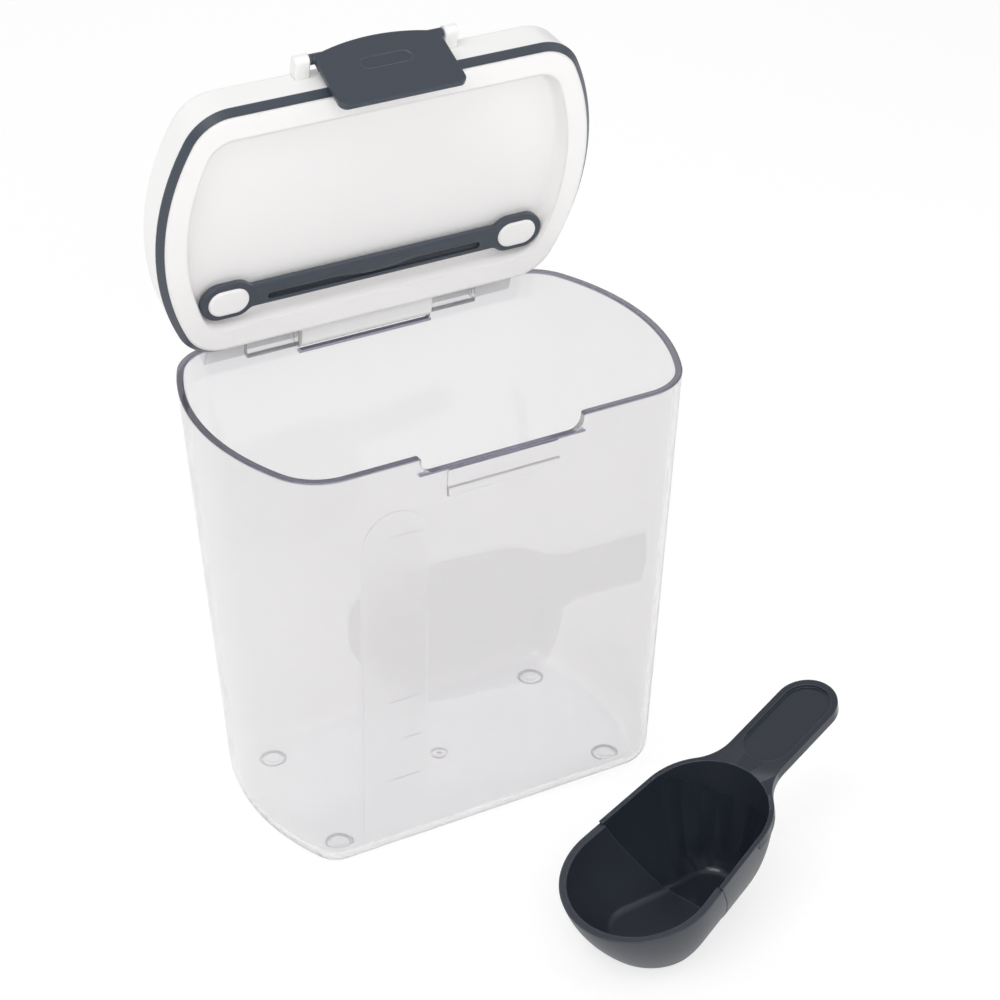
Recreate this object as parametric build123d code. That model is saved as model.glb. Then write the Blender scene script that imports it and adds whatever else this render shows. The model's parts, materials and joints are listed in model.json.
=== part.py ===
from build123d import *
import os
from math import atan2, cos, pi, radians, sin, sqrt, tan

# Pet food bin: a clear tank, a hinged lid with a seal and a front latch, a strap under the lid for
# the scoop, and the scoop itself lying beside the bin.
# Millimetres. X runs along the bin's long side, the front faces -Y, and the origin is the middle of
# the tank's base, on the floor.

# ---------------------------------------------------------------- driving dimensions
# Tank, outside, at its rim.
rim_half_length = 120.0
rim_half_width = 74.35
rim_corner_radius = 29.0
rim_end_radius = 131.4
tank_height = 231.0
tank_draft = 0.0565
tank_wall = 3.3
tank_floor = 3.6
base_edge_radius = 15.0

# Openings in the rim for the latch (front) and the lid's hinge barrel (rear).
front_notch_half = 42.7
front_notch_depth = 9.0
front_notch_fillet = 6.5
rear_notch_half = 36.7
rear_notch_depth = 13.5
rear_notch_fillet = 2.0
notch_lip_radius = 1.3
notch_reach = 12.0

# Catch on the front wall; its ledge is what the latch's hook snaps under.
catch_half = 29.5
catch_bottom = tank_height - 24.0
catch_height = 14.0
catch_depth = 0.9
catch_corner_radius = 1.5
ledge_height = 5.0
ledge_depth = 2.2
ledge_edge_radius = 0.9

# Moulded base details, and the frosted measuring band with its ticks.
foot_x = rim_half_length - 43.2
foot_y = rim_half_width - 34.75
foot_radius = 6.0
foot_groove = 0.9
foot_well_radius = 4.8
foot_well_depth = 1.3
gate_ring_radius = 4.6
gate_ring_width = 1.0
gate_ring_depth = 0.6
gate_pip_radius = 1.3
gate_pip_depth = 0.8
band_middle = -56.0
band_width = 34.0
band_bottom = 18.0
band_top = tank_height - 25.0
band_depth = 0.35
tick_first = 30.0
tick_step = 24.0
tick_count = 7
tick_height = 0.9
tick_depth = 0.6
tick_margin = 3.0

# Hinge.
hinge_y = rim_half_width + 2.4
hinge_z = tank_height - 3.15
hinge_pin_radius = 1.25
hinge_pin_inner = 33.0
hinge_pin_outer = 84.5
running_gap = 0.05
knuckle_outer = 63.5
knuckle_radius = 5.8
knuckle_drop = 8.4
knuckle_rear = 2.5
knuckle_edge_radius = 1.8
barrel_radius = 10.2
flange_half = 85.5
flange_front = -8.5
flange_rear = 9.2
lug_radius = 2.1
lug_slope = 10.0
lug_edge_radius = 1.0
hinge_side_gap = 0.5
rim_gap = 0.6
slot_skin = 3.3
slot_edge_radius = 3.0
open_angle = 77.9

# Lid, in its closed place.
lid_top = tank_height + 6.5
cover_bottom = tank_height - 14.1
cover_wall = 2.4
cover_gap = 0.65
cover_lean = 1.35
cover_edge_radius = 4.0
seal_gap = 0.3
seal_bevel = 3.2
seal_depth = 4.6
seal_band = 0.4
seal_bottom = tank_height - 17.5
liner_face = tank_height - 18.5
liner_wall = 2.2
liner_edge_radius = 0.6
panel_z = liner_face + 7.4
panel_thickness = 2.2
recess_half_length = rim_half_length - 19.0
recess_half_width = rim_half_width - 19.85
recess_corner_radius = 14.0
recess_end_radius = rim_end_radius - 9.4
recess_lean = 2.0
recess_edge_radius = 3.0

# Latch, swung on its pin between the two ears at the front of the lid.
latch_y = -rim_half_width - 2.15
latch_z = tank_height + 0.5
latch_pin_radius = 1.0
latch_pin_half = 40.2
latch_half = 32.7
latch_thickness = 3.0
latch_inner = 0.5
latch_length = 33.3
latch_arch = 5.5
latch_corner_radius = 4.0
latch_barrel_radius = 2.6
latch_barrel_half = 34.4
latch_swing = 13.5
latch_edge_radius = 0.9
hook_top = 25.0
hook_height = 2.6
hook_tip_height = 0.8
hook_depth = 1.9
hook_root = 0.5
hook_half = 26.0
ear_inner = 35.1
ear_outer = 42.2
ear_radius = 3.2
ear_edge_radius = 0.8
ear_root = 1.5
ear_rise = 0.6
ear_bore_half = 40.7
badge_half = 13.0
badge_height = 3.4
badge_depth = 0.5
badge_drop = 11.0

# Strap under the lid and its two buttons.
strap_y = rim_half_width - 34.85
strap_half_width = 6.3
strap_thickness = 3.2
strap_face = liner_face + 1.7
strap_edge_radius = 0.8
strap_neck_radius = 4.0
eye_x = rim_half_length - 41.5
eye_half_length = 14.2
eye_half_height = 10.0
button_half_length = 10.5
button_half_height = 7.0
button_face = liner_face + 0.7
button_gap = 0.1
button_edge_radius = 0.9
stem_radius = 3.0
barb_radius = 3.8
barb_tip_radius = 2.6
barb_height = 1.6
slot_half = eye_x - 20.5
slot_offset = 2.0
slot_width = 4.2

# Scoop, in its own frame: X along the handle, origin on the floor under the bowl.
scoop_x = 62.7
scoop_y = -162.5
scoop_turn = 18.7
scoop_wall = 2.4
scoop_floor = 2.6
base_rear_x = 3.0
base_rear_radius = 13.5
base_front_x = -43.0
base_front_radius = 23.5
base_edge = 3.0
belly_rear_x = -1.5
belly_rear_radius = 28.4
belly_front_x = -47.0
belly_front_radius = 35.2
bowl_height = 55.5
rim_slope = 14.7
rim_rear_x = -6.8
rim_rear_radius = 35.0
rim_front_x = -52.8
rim_front_radius = 39.2
seam_floor_x = -11.5
seam_lean = 29.0
lip_wall = 3.6
lip_step = 0.3
lip_drop = 1.2
handle_half = 15.9
handle_end_x = 76.2
handle_thickness = 5.0
handle_root_x = 10.0
handle_neck_radius = 24.0
handle_recess_margin = 3.4
handle_recess_depth = 1.6
handle_recess_start = 34.0


# ---------------------------------------------------------------- shared shapes
def plan_face(half_length, half_width, corner_radius, end_radius, z):
    """Level face with straight long sides, bowed ends and rounded corners."""
    end_centre = half_length - end_radius
    corner_y = half_width - corner_radius
    corner_x = end_centre + sqrt((end_radius - corner_radius) ** 2 - corner_y**2)
    spread = atan2(corner_y, corner_x - end_centre)
    halfway = (spread + pi / 2) / 2
    tangent_x = end_centre + end_radius * cos(spread)
    tangent_y = end_radius * sin(spread)
    bulge_x = corner_x + corner_radius * cos(halfway)
    bulge_y = corner_y + corner_radius * sin(halfway)
    edges = []
    for side in (1, -1):
        start = (-side * corner_x, -side * half_width)
        corner = (side * corner_x, -side * half_width)
        end = (side * tangent_x, -side * tangent_y)
        far_end = (side * tangent_x, side * tangent_y)
        far_corner = (side * corner_x, side * half_width)
        edges.append(Line(start, corner))
        edges.append(ThreePointArc(corner, (side * bulge_x, -side * bulge_y), end))
        edges.append(ThreePointArc(end, (side * half_length, 0), far_end))
        edges.append(ThreePointArc(far_end, (side * bulge_x, side * bulge_y), far_corner))
    return Pos(0, 0, z) * make_face(edges)


def rim_inset(distance, z):
    """The rim's outline moved inwards by a distance, at a height."""
    return plan_face(
        rim_half_length - distance,
        rim_half_width - distance,
        rim_corner_radius - distance,
        rim_end_radius - distance,
        z,
    )


def drafted(bottom_inset, bottom_z, top_inset, top_z):
    """Solid between two inset outlines, with straight sloping sides."""
    return loft([rim_inset(bottom_inset, bottom_z), rim_inset(top_inset, top_z)], ruled=True)


def outside_inset(z):
    """How far the tank's outer wall stands in from the rim's outline at a height."""
    return tank_draft * (tank_height - z)


def inside_inset(z):
    """The same for the tank's inner wall."""
    return tank_wall + outside_inset(z)


def lowest_edges(solid):
    return solid.faces().sort_by(Axis.Z)[0].edges()


def highest_edges(solid):
    return solid.faces().sort_by(Axis.Z)[-1].edges()


def along_x(profile, start_x, end_x):
    """Extrude a profile drawn in (Y, Z) from one X to another."""
    return Pos(start_x, 0, 0) * extrude(Plane.YZ * profile, amount=end_x - start_x, dir=(1, 0, 0))


def rod_x(radius, centre_y, centre_z, start_x, end_x):
    return along_x(Pos(centre_y, centre_z) * Circle(radius), start_x, end_x)


def mirrored_pair(solid):
    return [solid, mirror(solid, Plane.YZ)]


def turned(solid, degrees, centre_y, centre_z):
    """Turn a solid about a line along X; positive lifts the lid's front."""
    axis = Axis((0, centre_y, centre_z), (-1, 0, 0))
    return solid.rotate(axis, degrees)


# ---------------------------------------------------------------- tank
draft_angle = atan2(tank_draft, 1) * 180 / pi
front_wall = Plane(
    origin=(0, -rim_half_width, tank_height),
    x_dir=(1, 0, 0),
    z_dir=(0, -cos(radians(draft_angle)), -sin(radians(draft_angle))),
)


def on_front_wall(sketch, depth):
    """Raise a sketch from the front wall's outside; its Y runs up the wall from the rim."""
    root = 0.5
    return extrude(front_wall.offset(-root) * sketch, amount=depth + root)


def tank_shell():
    outer = drafted(outside_inset(0), 0, 0, tank_height)
    outer = fillet(lowest_edges(outer), base_edge_radius)
    above_rim = tank_height + 2.0
    inner = drafted(inside_inset(tank_floor), tank_floor, inside_inset(above_rim), above_rim)
    inner = fillet(lowest_edges(inner), base_edge_radius - tank_wall)
    return outer - inner


def rim_notch(half, depth, corner_radius, wall_y):
    """Cutter for a notch in the rim: rounded bottom corners and eased lips."""
    above = 3.0
    notch = Pos(0, -depth) * Rectangle(2 * half, depth + above, align=(Align.CENTER, Align.MIN))
    notch = fillet(notch.vertices().group_by(Axis.Y)[0], corner_radius)
    lips = Sketch()
    for side in (1, -1):
        lip = Pos(side * half, 0) * Rectangle(2 * notch_lip_radius, 2 * notch_lip_radius)
        lip -= Pos(side * (half + notch_lip_radius), -notch_lip_radius) * Circle(notch_lip_radius)
        lips += lip & (Pos(side * half, 0) * Rectangle(2 * notch_lip_radius, 2 * notch_lip_radius))
    rear = Plane(origin=(0, wall_y + notch_reach, tank_height), x_dir=(1, 0, 0), z_dir=(0, -1, 0))
    return extrude(rear * (notch + lips), amount=2 * notch_reach)


def tank_catch():
    foot = Pos(0, catch_bottom - tank_height)
    from_below = (Align.CENTER, Align.MIN)
    pad = foot * RectangleRounded(2 * catch_half, catch_height, catch_corner_radius, align=from_below)
    ledge = on_front_wall(foot * Rectangle(2 * catch_half, ledge_height, align=from_below), ledge_depth)
    ledge = fillet(ledge.faces().sort_by(Axis.Y)[0].edges(), ledge_edge_radius)
    return on_front_wall(pad, catch_depth) + ledge


def measuring_band():
    """Frosted band on the front wall, with an arched head and raised plain ticks."""
    straight = band_top - band_width / 2 - band_bottom
    base = band_bottom - tank_height
    shape = Pos(band_middle, base) * Rectangle(band_width, straight, align=(Align.CENTER, Align.MIN))
    shape += Pos(band_middle, base + straight) * Circle(band_width / 2)
    band = on_front_wall(shape, band_depth)
    for count in range(tick_count):
        length = band_width * (0.5 if count % 2 == 0 else 0.3)
        middle = band_middle + band_width / 2 - tick_margin - length / 2
        height = base + tick_first + count * tick_step
        tick = Pos(middle, height) * RectangleRounded(length, tick_height, 0.4)
        band += on_front_wall(tick, tick_depth)
    return band


def knuckle(start_x, end_x):
    """Hinge knuckle behind the rear wall, with a rib down to its flat underside."""
    wall_y = rim_half_width - inside_inset(tank_height)
    root_y = wall_y + 0.5 * tank_wall
    disc = Pos(hinge_y, hinge_z) * Circle(knuckle_radius)
    keep = Pos(wall_y, hinge_z) * Rectangle(30, 60, align=(Align.MIN, Align.CENTER))
    rib = Polygon(
        (root_y - tank_draft * knuckle_drop, hinge_z - knuckle_drop),
        (hinge_y + knuckle_rear, hinge_z - knuckle_drop),
        (hinge_y + knuckle_radius, hinge_z),
        (root_y, hinge_z + 1.0),
        align=None,
    )
    low_rear = rib.vertices().sort_by(Axis.Y)[:2].sort_by(Axis.X)[-1]
    rib = fillet(low_rear, knuckle_edge_radius)
    solid = along_x((disc & keep) + rib, start_x, end_x)
    return solid - rod_x(hinge_pin_radius + running_gap, hinge_y, hinge_z, start_x - 1, end_x + 1)


def ring(radius, width, depth):
    return Cylinder(radius, 2 * depth) - Cylinder(radius - width, 3 * depth)


def make_tank():
    tank = tank_shell()
    tank -= rim_notch(front_notch_half, front_notch_depth, front_notch_fillet, -rim_half_width)
    tank -= rim_notch(rear_notch_half, rear_notch_depth, rear_notch_fillet, rim_half_width)
    tank += tank_catch()
    tank += measuring_band()
    for solid in mirrored_pair(knuckle(rear_notch_half, knuckle_outer)):
        tank += solid
    for side_x in (foot_x, -foot_x):
        for side_y in (foot_y, -foot_y):
            tank -= Pos(side_x, side_y, 0) * ring(foot_radius + foot_groove, foot_groove, foot_groove)
            tank -= Pos(side_x, side_y, tank_floor) * Cylinder(foot_well_radius, 2 * foot_well_depth)
    tank -= Pos(0, 0, tank_floor) * ring(gate_ring_radius, gate_ring_width, gate_ring_depth)
    tank -= Pos(0, 0, tank_floor) * Cylinder(gate_pip_radius, 2 * gate_pip_depth)
    return tank


# ---------------------------------------------------------------- lid, modelled closed
def lug_profile():
    """Outer hinge lug: over the rim, then round the pin, with an underside that stops on the wall."""
    top = lid_top - hinge_z
    over_rim = tank_height + rim_gap - hinge_z
    slope = radians(lug_slope)
    toe_y = lug_radius * sin(slope)
    toe_z = -lug_radius * cos(slope)
    heel_z = toe_z + (flange_rear - toe_y) * tan(slope)
    outline = Polyline(
        (-lug_radius, 0),
        (-lug_radius, over_rim),
        (flange_front, over_rim),
        (flange_front, top),
        (flange_rear, top),
        (flange_rear, heel_z),
        (toe_y, toe_z),
    )
    halfway = radians(225 + lug_slope / 2)
    toe_middle = (lug_radius * cos(halfway), lug_radius * sin(halfway))
    toe = ThreePointArc((toe_y, toe_z), toe_middle, (-lug_radius, 0))
    face = make_face([*outline.edges(), toe])
    rear_top = face.vertices().group_by(Axis.Y)[-1].sort_by(Axis.X)[-1]
    face = fillet(rear_top, cover_edge_radius)
    rear_low = face.vertices().group_by(Axis.X)[-1].sort_by(Axis.Y)[0]
    face = fillet(rear_low, lug_edge_radius)
    return Pos(hinge_y, hinge_z) * face


def flange_profile():
    """The part of the hinge flange that bridges over a knuckle."""
    top = lid_top - hinge_z
    low = top - slot_skin
    corners = [(flange_front, low), (flange_rear, low), (flange_rear, top), (flange_front, top)]
    face = Polygon(*corners, align=None)
    rear_top = face.vertices().group_by(Axis.Y)[-1].sort_by(Axis.X)[-1]
    face = fillet(rear_top, slot_edge_radius)
    return Pos(hinge_y, hinge_z) * face


def barrel_profile():
    """Middle hinge barrel, which fills the rear notch."""
    top = lid_top - hinge_z
    disc = Circle(barrel_radius)
    corners = [(-barrel_radius, 0), (flange_rear, 0), (flange_rear, top), (-barrel_radius, top)]
    upper = Polygon(*corners, align=None)
    rear_top = upper.vertices().group_by(Axis.Y)[-1].sort_by(Axis.X)[-1]
    upper = fillet(rear_top, cover_edge_radius)
    keep = Pos(flange_rear, 0) * Rectangle(60, 2 * top, align=(Align.MAX, Align.CENTER))
    lower_keep = Rectangle(60, 30, align=(Align.CENTER, Align.MAX))
    return Pos(hinge_y, hinge_z) * (upper + (disc & keep & lower_keep))


def ear(start_x, end_x):
    """Ear that carries one end of the latch pin."""
    root_y = -rim_half_width + inside_inset(cover_bottom) + ear_root
    disc = Pos(latch_y, latch_z) * Circle(ear_radius)
    arm = Polygon(
        (latch_y, latch_z - ear_radius),
        (root_y, latch_z - ear_radius),
        (root_y, latch_z + ear_radius + ear_rise),
        (latch_y, latch_z + ear_radius),
        align=None,
    )
    solid = along_x(disc + arm, start_x, end_x)
    outer_face = solid.faces().filter_by(Axis.X).sort_by(Axis.X)[-1]
    return fillet(outer_face.edges(), ear_edge_radius)


def make_cover():
    side_inset = inside_inset(cover_bottom) + cover_gap
    outer = drafted(side_inset, cover_bottom, side_inset + cover_lean, lid_top)
    outer = fillet(highest_edges(outer), cover_edge_radius)
    roof = lid_top - cover_wall
    inner_inset = side_inset + cover_wall
    inner = drafted(inner_inset, cover_bottom - 1, inner_inset + cover_lean, roof)
    inner = fillet(highest_edges(inner), cover_edge_radius - cover_wall)
    slot_start = rear_notch_half - hinge_side_gap
    slot_end = knuckle_outer + hinge_side_gap
    added = along_x(barrel_profile(), -slot_start, slot_start)
    for solid in mirrored_pair(along_x(flange_profile(), slot_start, slot_end)):
        added += solid
    for solid in mirrored_pair(along_x(lug_profile(), slot_end, flange_half)):
        added += solid
    for solid in mirrored_pair(ear(ear_inner, ear_outer)):
        added += solid
    cover = (outer + added) - inner
    pin_bore = rod_x(hinge_pin_radius, hinge_y, hinge_z, hinge_pin_inner, flange_half + 1)
    for solid in mirrored_pair(pin_bore):
        cover -= solid
    return cover - rod_x(latch_pin_radius + running_gap, latch_y, latch_z, -ear_bore_half, ear_bore_half)


def recess_outline(distance, z):
    """Outline of the recess in the liner's face, moved inwards by a distance, at a height."""
    return plan_face(
        recess_half_length - distance,
        recess_half_width - distance,
        recess_corner_radius - distance,
        recess_end_radius - distance,
        z,
    )


def make_liner():
    seal_inset = inside_inset(cover_bottom) + seal_gap
    core_inset = seal_inset + seal_depth
    top = panel_z + panel_thickness
    core = drafted(core_inset, liner_face, core_inset, top)
    lip = drafted(seal_inset + seal_bevel, liner_face, seal_inset + seal_bevel, seal_bottom)
    lip = fillet(lowest_edges(lip), liner_edge_radius)
    rim_top_inset = inside_inset(cover_bottom) + cover_gap + cover_wall + cover_lean
    locating_rim = drafted(rim_top_inset, top - liner_wall, rim_top_inset, top)
    recess = loft([recess_outline(0, liner_face), recess_outline(recess_lean, panel_z)], ruled=True)
    recess = fillet(highest_edges(recess), recess_edge_radius)
    channel_z = liner_face + liner_wall
    channel = extrude(rim_inset(core_inset + liner_wall, channel_z), amount=20)
    channel -= extrude(recess_outline(-liner_wall, channel_z), amount=20)
    liner = core + lip + locating_rim - recess - channel
    for side in (1, -1):
        liner -= Pos(side * eye_x, strap_y, panel_z) * Cylinder(stem_radius, 4 * panel_thickness)
    return liner


def make_seal():
    """Wiper seal in the groove between the cover and the liner."""
    seal_inset = inside_inset(cover_bottom) + seal_gap
    band_z = cover_bottom - seal_band
    wiper = drafted(seal_inset + seal_bevel, seal_bottom, seal_inset, band_z)
    wiper += drafted(seal_inset, band_z, seal_inset, cover_bottom)
    core_inset = seal_inset + seal_depth
    return wiper - drafted(core_inset, seal_bottom - 1, core_inset, cover_bottom + 1)


def make_hinge_pin():
    pin = rod_x(hinge_pin_radius, hinge_y, hinge_z, hinge_pin_inner, hinge_pin_outer)
    return chamfer(pin.edges().filter_by(GeomType.CIRCLE), 0.25)


# ---------------------------------------------------------------- latch, modelled hanging straight down
def latch_front_face():
    """Front view of the latch plate, measured from its pin."""
    half = latch_half
    sides = Polyline((-half, 0), (-half, -latch_length), (half, -latch_length), (half, 0))
    arch = ThreePointArc((half, 0), (0, latch_arch), (-half, 0))
    face = make_face([*sides.edges(), arch])
    return fillet(face.vertices().group_by(Axis.Y)[0], latch_corner_radius)


def make_latch_plate():
    front = Plane(origin=(0, latch_y + latch_inner, latch_z), x_dir=(1, 0, 0), z_dir=(0, -1, 0))
    plate = extrude(front * latch_front_face(), amount=latch_thickness)
    plate = fillet(plate.faces().sort_by(Axis.Y)[0].edges(), latch_edge_radius)
    badge = Pos(0, -badge_drop) * SlotOverall(2 * badge_half, 2 * badge_height)
    plate -= extrude(front.offset(latch_thickness - badge_depth) * badge, amount=2 * badge_depth)
    plate += rod_x(latch_barrel_radius, latch_y, latch_z, -latch_barrel_half, latch_barrel_half)
    root_y = latch_y + latch_inner - hook_root
    tip_y = latch_y + latch_inner + hook_depth
    top_z = latch_z - hook_top
    hook = Polygon(
        (root_y, top_z),
        (tip_y, top_z),
        (tip_y, top_z - hook_tip_height),
        (root_y, top_z - hook_height),
        align=None,
    )
    plate += along_x(hook, -hook_half, hook_half)
    return plate - rod_x(latch_pin_radius + running_gap, latch_y, latch_z, -ear_outer, ear_outer)


def make_latch_pin():
    pin = rod_x(latch_pin_radius, latch_y, latch_z, -latch_pin_half, latch_pin_half)
    return chamfer(pin.edges().filter_by(GeomType.CIRCLE), 0.2)


# ---------------------------------------------------------------- strap and buttons, modelled closed
def button_outline():
    return SlotOverall(2 * button_half_length, 2 * button_half_height)


def make_strap():
    """Silicone band with an oval eye at each end and a long slot."""
    shape = Pos(0, strap_y) * Rectangle(2 * (eye_x - strap_half_width), 2 * strap_half_width)
    for side in (1, -1):
        shape += Pos(side * eye_x, strap_y) * SlotOverall(2 * eye_half_length, 2 * eye_half_height)
    necks = shape.vertices().filter_by_position(Axis.X, -eye_x + 5, eye_x - 5)
    shape = fillet(necks, strap_neck_radius)
    body = extrude(Pos(0, 0, strap_face) * shape, amount=strap_thickness)
    body = fillet(lowest_edges(body), strap_edge_radius)
    below = strap_face - 1
    for side in (1, -1):
        hole = Pos(side * eye_x, strap_y, below) * offset(button_outline(), button_gap)
        body -= extrude(hole, amount=strap_thickness + 2)
    slot = Pos(0, strap_y + slot_offset, below) * SlotOverall(2 * slot_half, slot_width)
    return body - extrude(slot, amount=strap_thickness + 2)


def make_button(side):
    """Snap-in button: an oval head through the strap's eye and a stem through the liner."""
    from_below = (Align.CENTER, Align.CENTER, Align.MIN)
    head = extrude(Pos(0, 0, button_face) * button_outline(), amount=panel_z - button_face)
    head = fillet(lowest_edges(head), button_edge_radius)
    stem = Pos(0, 0, panel_z) * Cylinder(stem_radius, panel_thickness, align=from_below)
    barb = Cone(barb_radius, barb_tip_radius, barb_height, align=from_below)
    return Pos(side * eye_x, strap_y, 0) * (head + stem + Pos(0, 0, panel_z + panel_thickness) * barb)


# ---------------------------------------------------------------- scoop, in its own frame
def egg(rear_x, rear_radius, front_x, front_radius):
    """Outline of two arcs and the lines that touch both."""
    lean = (front_radius - rear_radius) / (rear_x - front_x)
    rise = sqrt(1 - lean * lean)
    rear_top = (rear_x + rear_radius * lean, rear_radius * rise)
    front_top = (front_x + front_radius * lean, front_radius * rise)
    rear_low = (rear_top[0], -rear_top[1])
    front_low = (front_top[0], -front_top[1])
    edges = [
        Line(front_top, rear_top),
        ThreePointArc(rear_top, (rear_x + rear_radius, 0), rear_low),
        Line(rear_low, front_low),
        ThreePointArc(front_low, (front_x - front_radius, 0), front_top),
    ]
    return make_face(edges)


def sloping_plane(height, slope):
    """Plane that rises towards the handle, at a height over the origin."""
    lean = radians(slope)
    return Plane(origin=(0, 0, height), x_dir=(cos(lean), 0, sin(lean)), z_dir=(-sin(lean), 0, cos(lean)))


rim_plane = sloping_plane(bowl_height, rim_slope)
belly_plane = sloping_plane(bowl_height / 2, rim_slope / 2)


def rim_outline(skin):
    return egg(rim_rear_x, rim_rear_radius - skin, rim_front_x, rim_front_radius - skin)


def bowl_solid(skin, base_z, edge_radius, drop=0):
    """Tapered bowl, inset by a skin, from a level base up to the sloping rim plane."""
    base = egg(base_rear_x, base_rear_radius - skin, base_front_x, base_front_radius - skin)
    belly = egg(belly_rear_x, belly_rear_radius - skin, belly_front_x, belly_front_radius - skin)
    rim = rim_plane.offset(-drop) * rim_outline(skin)
    solid = loft([Pos(0, 0, base_z) * base, belly_plane * belly, rim])
    return fillet(lowest_edges(solid), edge_radius)


def handle_plate():
    """Handle and flared neck in the rim plane, joined to the rear of the bowl's rim."""
    handle = Pos(handle_root_x, 0) * Rectangle(
        handle_end_x - handle_root_x, 2 * handle_half, align=(Align.MIN, Align.CENTER)
    )
    handle += Pos(handle_end_x, 0) * Circle(handle_half)
    outline = handle + rim_outline(0)
    corners = outline.vertices().filter_by_position(Axis.X, handle_root_x, handle_end_x - 1)
    outline = fillet(corners, handle_neck_radius)
    keep = Pos(rim_rear_x, 0) * Rectangle(200, 200, align=(Align.MIN, Align.CENTER))
    plate = extrude(rim_plane * (outline & keep), amount=-handle_thickness)
    recess_radius = handle_half - handle_recess_margin
    recess_length = handle_end_x + recess_radius - handle_recess_start
    recess_middle = handle_recess_start + recess_length / 2
    recess = rim_plane * Pos(recess_middle, 0) * SlotOverall(recess_length, 2 * recess_radius)
    return plate - extrude(recess, amount=-handle_recess_depth)


def front_of_seam():
    """Half-space in front of the leaning seam between the bowl and its soft lip."""
    lean = radians(seam_lean)
    seam = Plane(origin=(seam_floor_x, 0, 0), x_dir=(0, 1, 0), z_dir=(-cos(lean), 0, -sin(lean)))
    return extrude(seam * Rectangle(400, 400), amount=300)


def on_floor(solid):
    """Put a scoop piece beside the bin."""
    return Pos(scoop_x, scoop_y, 0) * Rot(0, 0, scoop_turn) * solid


def make_scoop_bowl():
    outer = bowl_solid(0, 0, base_edge)
    inner = bowl_solid(scoop_wall, scoop_floor, base_edge + 2)
    return on_floor((outer - front_of_seam()) + handle_plate() - inner)


def make_scoop_lip():
    outer = bowl_solid(lip_step, 0, base_edge, lip_drop) & front_of_seam()
    inner = bowl_solid(lip_step + lip_wall, scoop_floor, base_edge + 2, lip_drop)
    return on_floor(outer - inner)


# ---------------------------------------------------------------- placing and writing
def opened(solid):
    """Turn a piece of the lid from its closed place to the open rest place."""
    return turned(solid, open_angle, hinge_y, hinge_z)


def make_all():
    pieces = {
        "tank": make_tank(),
        "lid_cover": opened(make_cover()),
        "lid_liner": opened(make_liner()),
        "lid_seal": opened(make_seal()),
        "scoop_strap": opened(make_strap()),
        "latch_plate": opened(turned(make_latch_plate(), -latch_swing, latch_y, latch_z)),
        "latch_pin": opened(make_latch_pin()),
        "scoop_bowl": make_scoop_bowl(),
        "scoop_lip": make_scoop_lip(),
    }
    for side, name in ((1, "right"), (-1, "left")):
        pin = make_hinge_pin()
        pieces["hinge_pin_" + name] = opened(pin if side == 1 else mirror(pin, Plane.YZ))
        pieces["strap_button_" + name] = opened(make_button(side))
    return pieces


os.makedirs("parts", exist_ok=True)
for piece_name, piece in make_all().items():
    solids = piece.solids()
    export_step(solids[0] if len(solids) == 1 else Compound(solids), "parts/" + piece_name + ".step")
    print(piece_name, len(solids), "solid", round(piece.volume / 1000, 2), "ml")
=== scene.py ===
import json
from math import cos, pi, radians, sin

import bmesh
import bpy
from mathutils import Matrix, Vector


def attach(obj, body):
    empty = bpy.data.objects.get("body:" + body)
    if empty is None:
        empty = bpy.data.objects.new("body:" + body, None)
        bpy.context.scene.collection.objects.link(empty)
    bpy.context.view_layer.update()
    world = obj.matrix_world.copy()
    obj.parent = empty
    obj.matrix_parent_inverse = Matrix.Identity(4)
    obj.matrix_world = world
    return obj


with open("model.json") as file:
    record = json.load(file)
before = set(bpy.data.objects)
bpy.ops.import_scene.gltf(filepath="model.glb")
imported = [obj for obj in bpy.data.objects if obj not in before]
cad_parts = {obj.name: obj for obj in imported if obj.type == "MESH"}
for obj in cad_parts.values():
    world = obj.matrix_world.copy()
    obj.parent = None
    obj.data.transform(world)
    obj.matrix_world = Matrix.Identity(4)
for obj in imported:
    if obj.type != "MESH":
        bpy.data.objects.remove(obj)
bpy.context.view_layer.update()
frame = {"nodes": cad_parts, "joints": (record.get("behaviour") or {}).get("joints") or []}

nodes = frame["nodes"]

# ---------------------------------------------------------------- studio
# A pale seamless floor under a big soft light from above left, a weaker one from the right and a
# low strip behind, so that clear plastic gets dark edges and the dark scoop gets long highlights.
# The tank's rim and notch floors are darkened further with painted shade.
camera_turn = radians(-28.483)
camera_rise = radians(31.091)
camera_roll = -0.0067
camera_distance = 1.319285
camera_target = Vector((0.025667, -0.022738, 0.16176))
camera_lens = 96.784

toward_camera = Vector((
    sin(camera_turn) * cos(camera_rise),
    -cos(camera_turn) * cos(camera_rise),
    sin(camera_rise),
))
camera_data = bpy.data.cameras.new("camera")
camera_data.lens = camera_lens
camera_data.sensor_width = 36.0
camera_data.clip_start = 0.05
camera_object = bpy.data.objects.new("camera", camera_data)
bpy.context.scene.collection.objects.link(camera_object)
facing = (
    Matrix.Rotation(camera_turn, 4, "Z")
    @ Matrix.Rotation(pi / 2 - camera_rise, 4, "X")
    @ Matrix.Rotation(camera_roll, 4, "Z")
)
camera_object.matrix_world = Matrix.Translation(camera_target + toward_camera * camera_distance) @ facing
bpy.context.scene.camera = camera_object
bpy.context.scene.view_settings.view_transform = "Standard"


def softbox(name, place, aim, width, height, power):
    """A rectangular area light at a place, turned to face its aim."""
    data = bpy.data.lights.new(name, "AREA")
    data.shape = "RECTANGLE"
    data.size = width
    data.size_y = height
    data.energy = power
    light = bpy.data.objects.new(name, data)
    light.location = place
    light.rotation_euler = (Vector(aim) - Vector(place)).to_track_quat("-Z", "Y").to_euler()
    bpy.context.scene.collection.objects.link(light)


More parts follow.
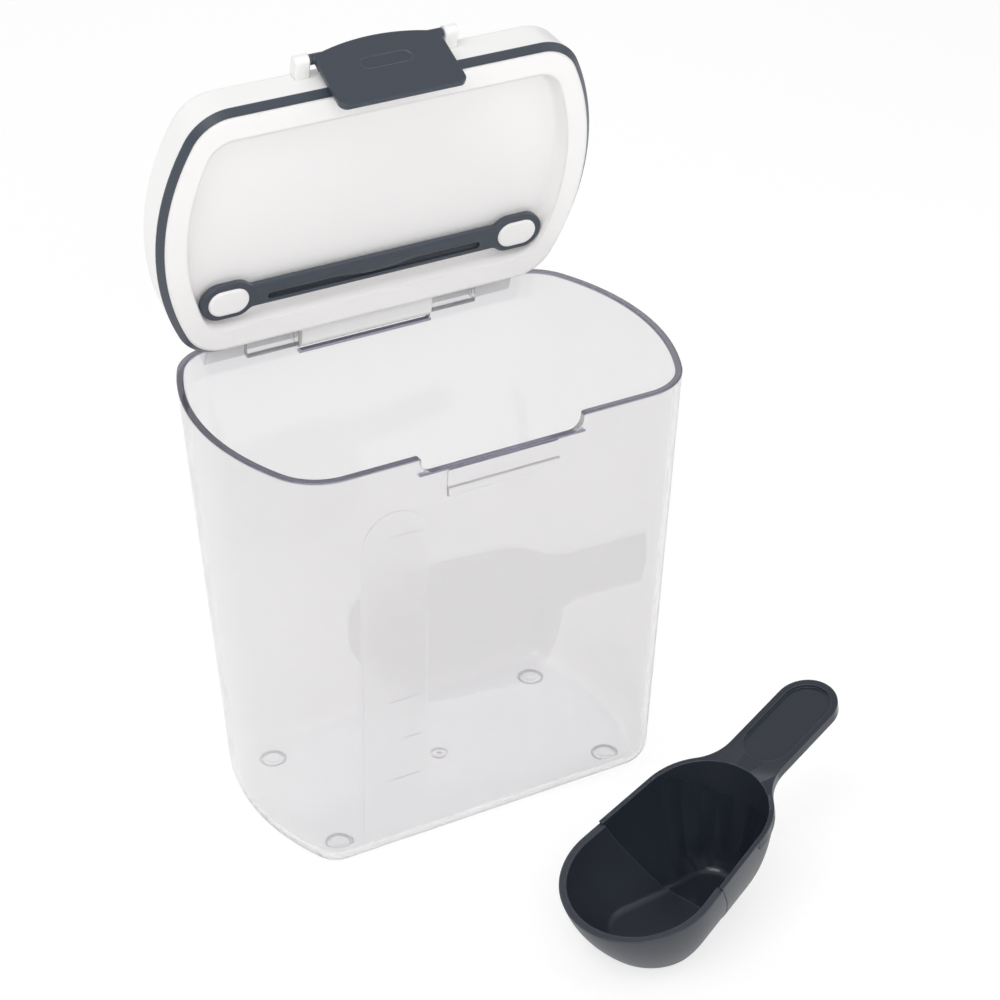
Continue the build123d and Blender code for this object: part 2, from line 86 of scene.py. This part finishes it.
softbox("key_softbox", (-0.9, -0.7, 1.6), (0, 0, 0.25), 1.1, 1.1, 11.5)
softbox("front_softbox", (-0.35, -1.9, 1.15), (0, 0, 0.25), 0.9, 0.9, 10.0)
softbox("fill_softbox", (1.3, -0.8, 0.9), (0, 0, 0.2), 0.9, 1.2, 4.0)
softbox("left_strip", (-1.25, 0.34, 0.62), (0.06, -0.16, 0.05), 0.16, 0.5, 1.0)
softbox("rear_strip", (0.3, 1.4, 0.9), (0, 0, 0.2), 1.6, 0.4, 2.4)

world = bpy.data.worlds.new("studio")
world.use_nodes = True
bpy.context.scene.world = world
world_nodes = world.node_tree.nodes
world_links = world.node_tree.links
around = world_nodes.new("ShaderNodeTexCoord")
split = world_nodes.new("ShaderNodeSeparateXYZ")
heights = world_nodes.new("ShaderNodeValToRGB")
heights.color_ramp.elements[0].position = 0.0
heights.color_ramp.elements[0].color = (0.80, 0.80, 0.80, 1)
heights.color_ramp.elements[1].position = 1.0
heights.color_ramp.elements[1].color = (1.0, 1.0, 1.0, 1)
low_band = heights.color_ramp.elements.new(0.08)
low_band.color = (0.42, 0.42, 0.44, 1)
mid_band = heights.color_ramp.elements.new(0.45)
mid_band.color = (0.82, 0.82, 0.83, 1)
world_links.new(around.outputs["Generated"], split.inputs[0])
world_links.new(split.outputs["Z"], heights.inputs["Fac"])
world_links.new(heights.outputs["Color"], world_nodes["Background"].inputs["Color"])
world_nodes["Background"].inputs["Strength"].default_value = 0.62


def material(name, **values):
    """A material with one Principled shader, whose plain numbers are set by socket name."""
    made = bpy.data.materials.new(name)
    made.use_nodes = True
    shader = made.node_tree.nodes["Principled BSDF"]
    for socket, value in values.items():
        shader.inputs[socket.replace("_", " ")].default_value = value
    return made, made.node_tree, shader


floor_size = 8.0
floor_drop = 0.0004
floor_mesh = bpy.data.meshes.new("floor")
floor_shape = bmesh.new()
bmesh.ops.create_grid(floor_shape, x_segments=8, y_segments=8, size=floor_size / 2)
floor_shape.to_mesh(floor_mesh)
floor_shape.free()
floor = bpy.data.objects.new("floor", floor_mesh)
floor.location = (0, 0, -floor_drop)
bpy.context.scene.collection.objects.link(floor)
floor_paint, tree, shader = material("floor_paper", Roughness=0.85, Specular_IOR_Level=0.1)
speck = tree.nodes.new("ShaderNodeTexNoise")
speck.inputs["Scale"].default_value = 6.0
tone = tree.nodes.new("ShaderNodeMapRange")
tone.inputs["To Min"].default_value = 0.36
tone.inputs["To Max"].default_value = 0.38
tree.links.new(speck.outputs["Fac"], tone.inputs["Value"])
tree.links.new(tone.outputs["Result"], shader.inputs["Base Color"])
shader.inputs["Emission Color"].default_value = (1, 1, 1, 1)
shader.inputs["Emission Strength"].default_value = 0.68
floor_mesh.materials.append(floor_paint)


# ---------------------------------------------------------------- tank
# One clear polycarbonate moulding, polished, with a frosted measuring band on the front wall.
# Painted shade: the wall is tinted dark grey where it is seen end on, at the rim and notch floors.
def wear(node, made):
    """Give a CAD node this material in every slot."""
    mesh = nodes[node].data
    mesh.materials.clear()
    mesh.materials.append(made)


def math_node(tree, operation, first, second=0.0):
    """The output of a Math node; each input is a number or another node's output."""
    node = tree.nodes.new("ShaderNodeMath")
    node.operation = operation
    for socket, value in ((node.inputs[0], first), (node.inputs[1], second)):
        if isinstance(value, (int, float)):
            socket.default_value = value
        else:
            tree.links.new(value, socket)
    return node.outputs[0]


def ramp_between(tree, value, start, end):
    """0 below start, 1 above end, smooth between."""
    node = tree.nodes.new("ShaderNodeMapRange")
    node.interpolation_type = "SMOOTHSTEP"
    node.inputs["From Min"].default_value = start
    node.inputs["From Max"].default_value = end
    tree.links.new(value, node.inputs["Value"])
    return node.outputs["Result"]


def between(tree, value, low, high, soft=0.0003):
    """1 where the value lies between low and high, 0 outside."""
    above = ramp_between(tree, value, low - soft, low)
    below = math_node(tree, "SUBTRACT", 1.0, ramp_between(tree, value, high, high + soft))
    return math_node(tree, "MULTIPLY", above, below)


def distance_across(tree, first, second):
    """The length of a flat vector from its two parts."""
    squares = [math_node(tree, "POWER", part, 2.0) for part in (first, second)]
    return math_node(tree, "SQRT", math_node(tree, "ADD", *squares))


def all_of(tree, *masks):
    """1 where every mask is 1."""
    product = masks[0]
    for mask in masks[1:]:
        product = math_node(tree, "MULTIPLY", product, mask)
    return product


clear_plastic, tree, shader = material(
    "clear_plastic", IOR=1.46, Transmission_Weight=0.86, Specular_IOR_Level=0.5
)
rim_underside = 0.2296
notch_middle = -0.001
front_notch_floor = (0.2210, 0.2222)
front_notch_half = 0.0435
rear_notch_floor = (0.2164, 0.2178)
rear_notch_half = 0.0368
place = tree.nodes.new("ShaderNodeTexCoord")
axes = tree.nodes.new("ShaderNodeSeparateXYZ")
tree.links.new(place.outputs["Object"], axes.inputs[0])
# Painted shade: dark grey is laid on the rim and along the notch floors, where the clear wall is seen
# end on.
rim_shade_mask = ramp_between(tree, axes.outputs["Z"], rim_underside, rim_underside + 0.0008)
side_x = math_node(tree, "ABSOLUTE", axes.outputs["X"])
front_notch_shade = all_of(
    tree,
    between(tree, axes.outputs["Z"], *front_notch_floor),
    between(tree, side_x, notch_middle, front_notch_half),
    between(tree, axes.outputs["Y"], -0.090, -0.060),
)
rear_notch_shade = all_of(
    tree,
    between(tree, axes.outputs["Z"], *rear_notch_floor),
    between(tree, side_x, notch_middle, rear_notch_half),
    between(tree, axes.outputs["Y"], 0.060, 0.080),
)
rim_shade_mask = math_node(tree, "MAXIMUM", rim_shade_mask, math_node(tree, "MAXIMUM", front_notch_shade, rear_notch_shade))
# Painted shade: a dark ring low on the base round each foot, where light runs out at the foot's side
# wall.
foot_x = 0.0768
foot_y = 0.0396
foot_radius = 0.0060
foot_offset_x = math_node(tree, "SUBTRACT", side_x, foot_x)
side_y = math_node(tree, "ABSOLUTE", axes.outputs["Y"])
foot_offset_y = math_node(tree, "SUBTRACT", side_y, foot_y)
foot_distance = distance_across(tree, foot_offset_x, foot_offset_y)
foot_shade_ring = math_node(
    tree, "MULTIPLY",
    between(tree, foot_distance, foot_radius - 0.0002, foot_radius + 0.0010),
    between(tree, axes.outputs["Z"], 0.0003, 0.0030),
)
band_middle = -0.056
band_half = 0.017
band_low = 0.018
band_shoulder = 0.189
band_blur = 0.0003
front_wall_inside = -0.0605
offset_x = math_node(tree, "SUBTRACT", axes.outputs["X"], band_middle)
above_shoulder = math_node(tree, "SUBTRACT", axes.outputs["Z"], band_shoulder)
above_shoulder = math_node(tree, "MAXIMUM", above_shoulder)
from_axis = distance_across(tree, offset_x, above_shoulder)
past_side = ramp_between(tree, from_axis, band_half - band_blur, band_half + 0.0001)
band_mask = math_node(tree, "SUBTRACT", 1.0, past_side)
above_end = ramp_between(tree, axes.outputs["Z"], band_low - band_blur, band_low)
band_mask = math_node(tree, "MULTIPLY", band_mask, above_end)
behind_front = ramp_between(tree, axes.outputs["Y"], front_wall_inside, front_wall_inside + 0.0010)
front_mask = math_node(tree, "SUBTRACT", 1.0, behind_front)
band_mask = math_node(tree, "MULTIPLY", band_mask, front_mask)
ripple = tree.nodes.new("ShaderNodeTexNoise")
ripple.inputs["Scale"].default_value = 7.0
ripple.inputs["Detail"].default_value = 0.0
tree.links.new(place.outputs["Object"], ripple.inputs["Vector"])
frost = tree.nodes.new("ShaderNodeTexNoise")
frost.inputs["Scale"].default_value = 2200.0
tree.links.new(place.outputs["Object"], frost.inputs["Vector"])
haze = tree.nodes.new("ShaderNodeMapRange")
haze.inputs["To Min"].default_value = 0.015
haze.inputs["To Max"].default_value = 0.055
tree.links.new(ripple.outputs["Fac"], haze.inputs["Value"])
roughness = tree.nodes.new("ShaderNodeMix")
tree.links.new(band_mask, roughness.inputs["Factor"])
tree.links.new(haze.outputs["Result"], roughness.inputs["A"])
roughness.inputs["B"].default_value = 0.18
tree.links.new(roughness.outputs["Result"], shader.inputs["Roughness"])
glance = tree.nodes.new("ShaderNodeLayerWeight")
glance.inputs["Blend"].default_value = 0.35
wall_tint = tree.nodes.new("ShaderNodeMix")
wall_tint.data_type = "RGBA"
wall_tint.inputs["A"].default_value = (0.84, 0.832, 0.836, 1)
wall_tint.inputs["B"].default_value = (0.93, 0.925, 0.927, 1)
tree.links.new(glance.outputs["Facing"], wall_tint.inputs["Factor"])
knuckle_front = 0.0690
knuckle_underside = 0.2150
base_underside = 0.0008
knuckle_mask = all_of(
    tree,
    ramp_between(tree, axes.outputs["Y"], knuckle_front, knuckle_front + 0.0010),
    ramp_between(tree, axes.outputs["Z"], knuckle_underside, knuckle_underside + 0.0020),
)
above_base = ramp_between(tree, axes.outputs["Z"], base_underside, base_underside + 0.0006)
base_mask = math_node(tree, "SUBTRACT", 1.0, above_base)


def tinted(tree, mask, under, over):
    """The colour under, with another colour laid over it where the mask is 1."""
    mix = tree.nodes.new("ShaderNodeMix")
    mix.data_type = "RGBA"
    tree.links.new(mask, mix.inputs["Factor"])
    tree.links.new(under, mix.inputs["A"])
    mix.inputs["B"].default_value = over
    return mix.outputs["Result"]


smoky_mask = math_node(tree, "MAXIMUM", knuckle_mask, base_mask)
smoky = tinted(tree, smoky_mask, wall_tint.outputs["Result"], (0.76, 0.76, 0.775, 1))
# Painted shade: dark grey rings round the feet.
foot_shaded = tinted(tree, foot_shade_ring, smoky, (0.20, 0.20, 0.23, 1))
# Painted shade: dark violet-grey on the rim and the notch floors.
rim_shaded = tinted(tree, rim_shade_mask, foot_shaded, (0.13, 0.13, 0.20, 1))
tree.links.new(rim_shaded, shader.inputs["Base Color"])
bump = tree.nodes.new("ShaderNodeBump")
bump.inputs["Strength"].default_value = 0.03
bump.inputs["Distance"].default_value = 0.001
frost_height = math_node(tree, "MULTIPLY", all_of(tree, frost.outputs["Fac"], band_mask), 0.05)
height = math_node(tree, "ADD", ripple.outputs["Fac"], frost_height)
tree.links.new(height, bump.inputs["Height"])
soft_edge = tree.nodes.new("ShaderNodeBevel")
soft_edge.samples = 6
soft_edge.inputs["Radius"].default_value = 0.0012
tree.links.new(soft_edge.outputs["Normal"], bump.inputs["Normal"])
tree.links.new(bump.outputs["Normal"], shader.inputs["Normal"])
light_path = tree.nodes.new("ShaderNodeLightPath")
pass_light = tree.nodes.new("ShaderNodeBsdfTransparent")
pass_light.inputs["Color"].default_value = (0.93, 0.93, 0.935, 1)
either = tree.nodes.new("ShaderNodeMixShader")
tree.links.new(light_path.outputs["Is Shadow Ray"], either.inputs["Fac"])
tree.links.new(shader.outputs["BSDF"], either.inputs[1])
tree.links.new(pass_light.outputs["BSDF"], either.inputs[2])
tree.links.new(either.outputs["Shader"], tree.nodes["Material Output"].inputs["Surface"])
wear("tank", clear_plastic)


# ---------------------------------------------------------------- hinge and latch pins
# Two short pins carry the lid and a long one carries the latch. They are drawn steel wire, cut to
# length and chamfered, and pressed into the white mouldings.
def moulded_skin():
    """Group: slow tone changes and a fine skin for moulded plastic, with painted light on every edge:
    a painted highlight on the dark parts and a faint painted shade line on the pale ones.
    """
    group = bpy.data.node_groups.new("moulded_skin", "ShaderNodeTree")
    face = group.interface
    for name, kind, start in (
        ("Colour", "NodeSocketColor", (0.8, 0.8, 0.8, 1)),
        ("Tone", "NodeSocketColor", (0.7, 0.7, 0.7, 1)),
        ("Grain Scale", "NodeSocketFloat", 900.0),
        ("Grain Depth", "NodeSocketFloat", 0.05),
        ("Flow Scale", "NodeSocketFloat", 12.0),
        ("Roughness Low", "NodeSocketFloat", 0.3),
        ("Roughness High", "NodeSocketFloat", 0.4),
        ("Edge Radius", "NodeSocketFloat", 0.0005),
        ("Edge Light Colour", "NodeSocketColor", (0.8, 0.8, 0.8, 1)),
    ):
        socket = face.new_socket(name, in_out="INPUT", socket_type=kind)
        socket.default_value = start
    face.new_socket("Colour", in_out="OUTPUT", socket_type="NodeSocketColor")
    face.new_socket("Roughness", in_out="OUTPUT", socket_type="NodeSocketFloat")
    face.new_socket("Normal", in_out="OUTPUT", socket_type="NodeSocketVector")
    add = group.nodes.new
    join = group.links.new
    inside = add("NodeGroupInput")
    outside = add("NodeGroupOutput")
    place = add("ShaderNodeTexCoord")
    flow = add("ShaderNodeTexNoise")
    flow.inputs["Detail"].default_value = 3.0
    join(place.outputs["Object"], flow.inputs["Vector"])
    join(inside.outputs["Flow Scale"], flow.inputs["Scale"])
    tint = add("ShaderNodeMix")
    tint.data_type = "RGBA"
    join(flow.outputs["Fac"], tint.inputs["Factor"])
    join(inside.outputs["Colour"], tint.inputs["A"])
    join(inside.outputs["Tone"], tint.inputs["B"])
    grain = add("ShaderNodeTexNoise")
    grain.inputs["Detail"].default_value = 4.0
    grain.inputs["Roughness"].default_value = 0.6
    join(place.outputs["Object"], grain.inputs["Vector"])
    join(inside.outputs["Grain Scale"], grain.inputs["Scale"])
    rough = add("ShaderNodeMapRange")
    join(grain.outputs["Fac"], rough.inputs["Value"])
    join(inside.outputs["Roughness Low"], rough.inputs["To Min"])
    join(inside.outputs["Roughness High"], rough.inputs["To Max"])
    join(rough.outputs["Result"], outside.inputs["Roughness"])
    bump = add("ShaderNodeBump")
    bump.inputs["Distance"].default_value = 0.00005
    join(inside.outputs["Grain Depth"], bump.inputs["Strength"])
    edge = add("ShaderNodeBevel")
    edge.samples = 6
    join(inside.outputs["Edge Radius"], edge.inputs["Radius"])
    join(edge.outputs["Normal"], bump.inputs["Normal"])
    geometry = add("ShaderNodeNewGeometry")
    square_on = add("ShaderNodeVectorMath")
    square_on.operation = "DOT_PRODUCT"
    join(edge.outputs["Normal"], square_on.inputs[0])
    join(geometry.outputs["Normal"], square_on.inputs[1])
    # Painted edge light: where the bevel normal turns away from the true normal, the edge colour is laid
    # on, a painted highlight on dark parts.
    edge_light_mask = add("ShaderNodeMapRange")
    edge_light_mask.inputs["From Min"].default_value = 0.995
    edge_light_mask.inputs["From Max"].default_value = 0.90
    join(square_on.outputs["Value"], edge_light_mask.inputs["Value"])
    edge_lit = add("ShaderNodeMix")
    edge_lit.data_type = "RGBA"
    join(edge_light_mask.outputs["Result"], edge_lit.inputs["Factor"])
    join(tint.outputs["Result"], edge_lit.inputs["A"])
    join(inside.outputs["Edge Light Colour"], edge_lit.inputs["B"])
    join(edge_lit.outputs["Result"], outside.inputs["Colour"])
    join(grain.outputs["Fac"], bump.inputs["Height"])
    join(bump.outputs["Normal"], outside.inputs["Normal"])
    return group


skin_group = moulded_skin()


def skinned(name, colour, tone, grain, depth, rough_low, rough_high, edge=0.0006, edge_highlight=1.0, **values):
    """A material on the moulded skin; edge_highlight is how much paler than the tone the painted
    highlight along its edges is.
    """
    made, tree, shader = material(name, **values)
    skin = tree.nodes.new("ShaderNodeGroup")
    skin.name = "skin"
    skin.node_tree = skin_group
    skin.inputs["Colour"].default_value = (*colour, 1)
    skin.inputs["Tone"].default_value = (*tone, 1)
    skin.inputs["Grain Scale"].default_value = grain
    skin.inputs["Grain Depth"].default_value = depth
    skin.inputs["Roughness Low"].default_value = rough_low
    skin.inputs["Roughness High"].default_value = rough_high
    skin.inputs["Edge Radius"].default_value = edge
    # Painted highlight: the edge colour is the tone scaled up, so it is paler on the dark parts.
    skin.inputs["Edge Light Colour"].default_value = (*(part * edge_highlight for part in tone), 1)
    tree.links.new(skin.outputs["Colour"], shader.inputs["Base Color"])
    tree.links.new(skin.outputs["Roughness"], shader.inputs["Roughness"])
    tree.links.new(skin.outputs["Normal"], shader.inputs["Normal"])
    return made


steel = skinned(
    "drawn_steel", (0.62, 0.62, 0.63), (0.5, 0.5, 0.52), 1500.0, 0.08, 0.18, 0.34, Metallic=1.0
)
for pin in ("hinge_pin_left", "hinge_pin_right", "latch_pin"):
    wear(pin, steel)


# ---------------------------------------------------------------- lid cover
# The outer shell of the lid, with its hinge barrel, lugs and latch ears, is one white
# polypropylene moulding with a fine satin skin. It fits over the liner.
white_cover = skinned(
    "white_cover", (0.93, 0.925, 0.915), (0.90, 0.895, 0.885), 1400.0, 0.10, 0.30, 0.42,
    edge=0.0012,
)
wear("lid_cover", white_cover)


# ---------------------------------------------------------------- lid liner and its buttons
# The inner shell is a white moulding, smoother than the cover, with a shallow tray across it. The
# two oval buttons that hold the strap are the same plastic and snap into the tray.
white_liner = skinned(
    "white_liner", (0.94, 0.93, 0.92), (0.91, 0.895, 0.885), 1100.0, 0.05, 0.26, 0.36,
    edge=0.0022,
)
wear("lid_liner", white_liner)
wear("strap_button_left", white_liner)
wear("strap_button_right", white_liner)


# ---------------------------------------------------------------- seal
# The lid seals with a ring of slate silicone, moulded in one piece and stretched into the groove
# round the liner.
silicone = skinned(
    "slate_silicone", (0.036, 0.046, 0.063), (0.046, 0.057, 0.077), 1800.0, 0.15, 0.34, 0.48,
    edge=0.0007, edge_highlight=1.9, Sheen_Weight=0.12, Sheen_Roughness=0.5,
)
wear("lid_seal", silicone)


# ---------------------------------------------------------------- strap
# A slate silicone band held by two buttons. A thin dark sheet behind its long slot is painted shade,
# and a grip pad swells into the slot at the middle, so that a finger can pull the band over the scoop.
wear("scoop_strap", silicone)
hinge = next(joint for joint in frame["joints"] if joint["name"] == "lid_hinge")
hinge_line = Vector(hinge["pos_m"])
lid_open_angle = radians(77.9)
lid_opened = (
    Matrix.Translation(hinge_line)
    @ Matrix.Rotation(lid_open_angle, 4, Vector(hinge["axis"]))
    @ Matrix.Translation(-hinge_line)
)
strap_face = 0.2142
strap_back = 0.2174
slot_front = 0.0394
slot_rear = 0.0436
slot_half = 0.058


def lid_piece(name, shape, made, subdivide=0):
    """A mesh piece drawn in the closed lid's place, swung open with the lid, that rides on it."""
    shape.transform(lid_opened)
    bmesh.ops.recalc_face_normals(shape, faces=shape.faces)
    mesh = bpy.data.meshes.new(name)
    shape.to_mesh(mesh)
    shape.free()
    for face in mesh.polygons:
        face.use_smooth = True
    piece = bpy.data.objects.new(name, mesh)
    bpy.context.scene.collection.objects.link(piece)
    if subdivide:
        smooth = piece.modifiers.new("smooth", "SUBSURF")
        smooth.levels = subdivide
        smooth.render_levels = subdivide
    mesh.materials.append(made)
    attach(piece, "lid")


def extruded(outline, low, high):
    """A flat outline of (x, y) points raised from low to high."""
    shape = bmesh.new()
    bottom = [shape.verts.new((x, y, low)) for x, y in outline]
    top = [shape.verts.new((x, y, high)) for x, y in outline]
    shape.faces.new(bottom)
    shape.faces.new(list(reversed(top)))
    for i in range(len(outline)):
        j = (i + 1) % len(outline)
        shape.faces.new((bottom[i], bottom[j], top[j], top[i]))
    return shape


def round_slot(middle_x, middle_y, half_length, half_height, steps=12):
    """Points round a slot with half-round ends."""
    points = []
    for side in (1, -1):
        for i in range(steps + 1):
            angle = -pi / 2 + pi * i / steps
            reach = half_length - half_height
            points.append((
                middle_x + side * (reach + half_height * cos(angle)),
                middle_y + side * half_height * sin(angle),
            ))
    return points


# Painted shade: a thin sheet of the dark silicone sits just behind the slot, where there is only the
# slot's shadow.
slot_shade_sheet = extruded(
    round_slot(0, (slot_front + slot_rear) / 2, slot_half, (slot_rear - slot_front) / 2),
    strap_back - 0.0012,
    strap_back - 0.0002,
)
lid_piece("strap_slot_shade", slot_shade_sheet, silicone)

pad_half = 0.031
pad_swell = 0.0027
pad_crown = 0.0012
pad_rows = 40
pad_lap = 0.0045
pad_shoulder = 0.0030
pad = bmesh.new()
sections = []
for i in range(pad_rows + 1):
    along = -1 + 2 * i / pad_rows
    swell = pad_swell * (0.5 + 0.5 * cos(pi * along)) ** 0.8
    crown = pad_crown * (0.5 + 0.5 * cos(pi * along))
    x = pad_half * along
    rear = slot_front + swell
    ring = []
    for y, z in (
        (slot_front - pad_lap, strap_face + 0.0004),
        (slot_front - pad_shoulder, strap_face - crown * 0.6),
        (slot_front - 0.0008, strap_face - crown),
        (rear - 0.0006, strap_face - crown * 0.5 + 0.0001),
        (rear, strap_face + 0.0008),
        (rear - 0.0002, strap_back - 0.0008),
        (slot_front - pad_shoulder, strap_back - 0.0008),
        (slot_front - pad_lap, strap_face + 0.0014),
    ):
        ring.append(pad.verts.new((x, y, z)))
    sections.append(ring)
for ring, next_ring in zip(sections, sections[1:]):
    for k in range(len(ring)):
        n = (k + 1) % len(ring)
        pad.faces.new((ring[k], ring[n], next_ring[n], next_ring[k]))
pad.faces.new(sections[0])
pad.faces.new(list(reversed(sections[-1])))
lid_piece("strap_grip_pad", pad, silicone, subdivide=1)


# ---------------------------------------------------------------- latch plate
# The latch is one slate plastic moulding with softened edges and a satin skin. It hangs on its
# pin between the two ears, and its hook snaps under the catch on the tank.
latch_plastic = skinned(
    "slate_latch", (0.040, 0.050, 0.068), (0.048, 0.059, 0.079), 2200.0, 0.10, 0.20, 0.28,
    edge=0.0009, edge_highlight=2.0,
)
wear("latch_plate", latch_plastic)


# ---------------------------------------------------------------- scoop bowl and handle
# Dark slate plastic, polished inside, where shallow flutes run down the rear wall, and satin
# outside. The walls taper, so the inside is every face that looks upwards.
scoop_place = (0.0627, -0.1625, 0.0)
scoop_turn = radians(18.7)
flute_step = 0.30
scoop_plastic = skinned(
    "scoop_plastic", (0.018, 0.023, 0.033), (0.023, 0.028, 0.039), 1800.0, 0.05, 0.36, 0.46,
    edge=0.0007, edge_highlight=2.6,
)


def inside_of_bowl(tree):
    """1 on faces that look upwards, 0 on the others."""
    geometry = tree.nodes.new("ShaderNodeNewGeometry")
    parts = tree.nodes.new("ShaderNodeSeparateXYZ")
    tree.links.new(geometry.outputs["Normal"], parts.inputs[0])
    return ramp_between(tree, parts.outputs["Z"], 0.02, 0.10)


def polish_inside(made, rough):
    """The polished half of the tool makes the inside glossier than the satin outside."""
    tree = made.node_tree
    shader = tree.nodes["Principled BSDF"]
    skin = tree.nodes["skin"]
    inside = inside_of_bowl(tree)
    gloss = tree.nodes.new("ShaderNodeMix")
    tree.links.new(inside, gloss.inputs["Factor"])
    tree.links.new(skin.outputs["Roughness"], gloss.inputs["A"])
    gloss.inputs["B"].default_value = rough
    tree.links.new(gloss.outputs["Result"], shader.inputs["Roughness"])
    return inside


inside = polish_inside(scoop_plastic, 0.16)
tree = scoop_plastic.node_tree
place = tree.nodes.new("ShaderNodeTexCoord")
local = tree.nodes.new("ShaderNodeMapping")
local.vector_type = "TEXTURE"
local.inputs["Location"].default_value = scoop_place
local.inputs["Rotation"].default_value = (0, 0, scoop_turn)
tree.links.new(place.outputs["Object"], local.inputs["Vector"])
parts = tree.nodes.new("ShaderNodeSeparateXYZ")
tree.links.new(local.outputs["Vector"], parts.inputs[0])
flute_x = math_node(tree, "ADD", parts.outputs["X"], 0.004)
turn = math_node(tree, "ARCTAN2", parts.outputs["Y"], flute_x)
flute = math_node(tree, "PINGPONG", math_node(tree, "ADD", turn, 0.15), flute_step)
to_rear = math_node(tree, "MULTIPLY", math_node(tree, "ABSOLUTE", turn), -1.0)
rear_only = ramp_between(tree, to_rear, -1.45, -1.05)
past_wall = ramp_between(tree, parts.outputs["X"], 0.024, 0.044)
walls_only = math_node(tree, "SUBTRACT", 1.0, past_wall)
above_floor = ramp_between(tree, parts.outputs["Z"], 0.008, 0.020)
flutes = all_of(tree, flute, rear_only, walls_only, inside, above_floor)
flute_bump = tree.nodes.new("ShaderNodeBump")
flute_bump.inputs["Strength"].default_value = 0.55
flute_bump.inputs["Distance"].default_value = 0.012
tree.links.new(flutes, flute_bump.inputs["Height"])
tree.links.new(tree.nodes["skin"].outputs["Normal"], flute_bump.inputs["Normal"])
tree.links.new(flute_bump.outputs["Normal"], tree.nodes["Principled BSDF"].inputs["Normal"])
wear("scoop_bowl", scoop_plastic)


# ---------------------------------------------------------------- scoop lip
# The front half of the scoop is a softer dark slate plastic. It is moulded on to the front of the
# bowl and stands proud of it in a small step.
scoop_rubber = skinned(
    "scoop_lip", (0.025, 0.030, 0.041), (0.031, 0.036, 0.048), 2000.0, 0.06, 0.38, 0.48,
    edge=0.0014, edge_highlight=1.7,
)
polish_inside(scoop_rubber, 0.30)
wear("scoop_lip", scoop_rubber)
